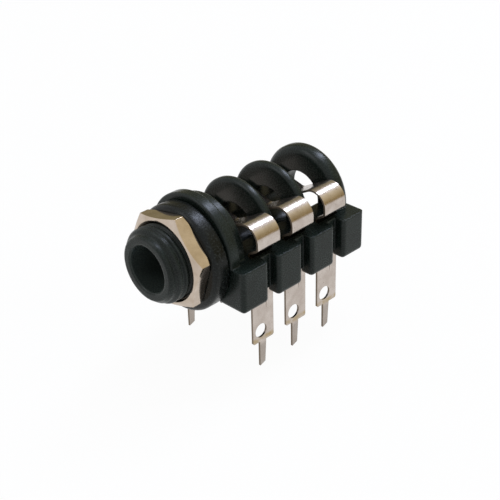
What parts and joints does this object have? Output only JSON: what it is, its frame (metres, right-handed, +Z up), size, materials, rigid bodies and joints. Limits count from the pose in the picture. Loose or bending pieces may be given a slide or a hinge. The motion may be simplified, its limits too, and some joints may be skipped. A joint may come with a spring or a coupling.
{
  "type": "audio jack socket",
  "caption": "Panel and board socket for a 6.35 mm audio plug, with a threaded bush, hex nut, sprung contacts and switch contacts on pins.",
  "frame": {"origin": "on the plug's axis at the front face of the flange, which bears on the panel", "axes": "+X along the plug's axis, the way the plug goes in; +Z up, away from the board; -Y towards the sprung contacts"},
  "size_m": [0.0309, 0.0192, 0.0254],
  "materials": {
    "moulding": "moulded, satin",
    "washer": "moulded, satin",
    "nut": "nickel plated",
    "contact": "nickel plated"
  },
  "bodies": {
    "socket": {"housing": "moulding", "sleeve_spring_contact": "contact", "ring_spring_contact": "contact", "tip_spring_contact": "contact", "sleeve_switch_contact": "contact", "ring_switch_contact": "contact", "tip_switch_contact": "contact"},
    "washer": {"washer_ring": "washer"},
    "nut": {"hex_nut": "nut"}
  },
  "joints": [
    {"name": "washer_slide", "type": "slide", "parent": "socket", "child": "washer", "axis": [-1, 0, 0], "range_m": [0, 0.0026]},
    {"name": "nut_turn", "type": "hinge", "parent": "washer", "child": "nut", "pos_m": [0, 0, 0], "axis": [-1, 0, 0], "range_deg": [0, 936]}
  ],
  "couplings": [
    {"joint": "nut_turn", "follows": "washer_slide", "rad_per_m": 6283.2}
  ]
}
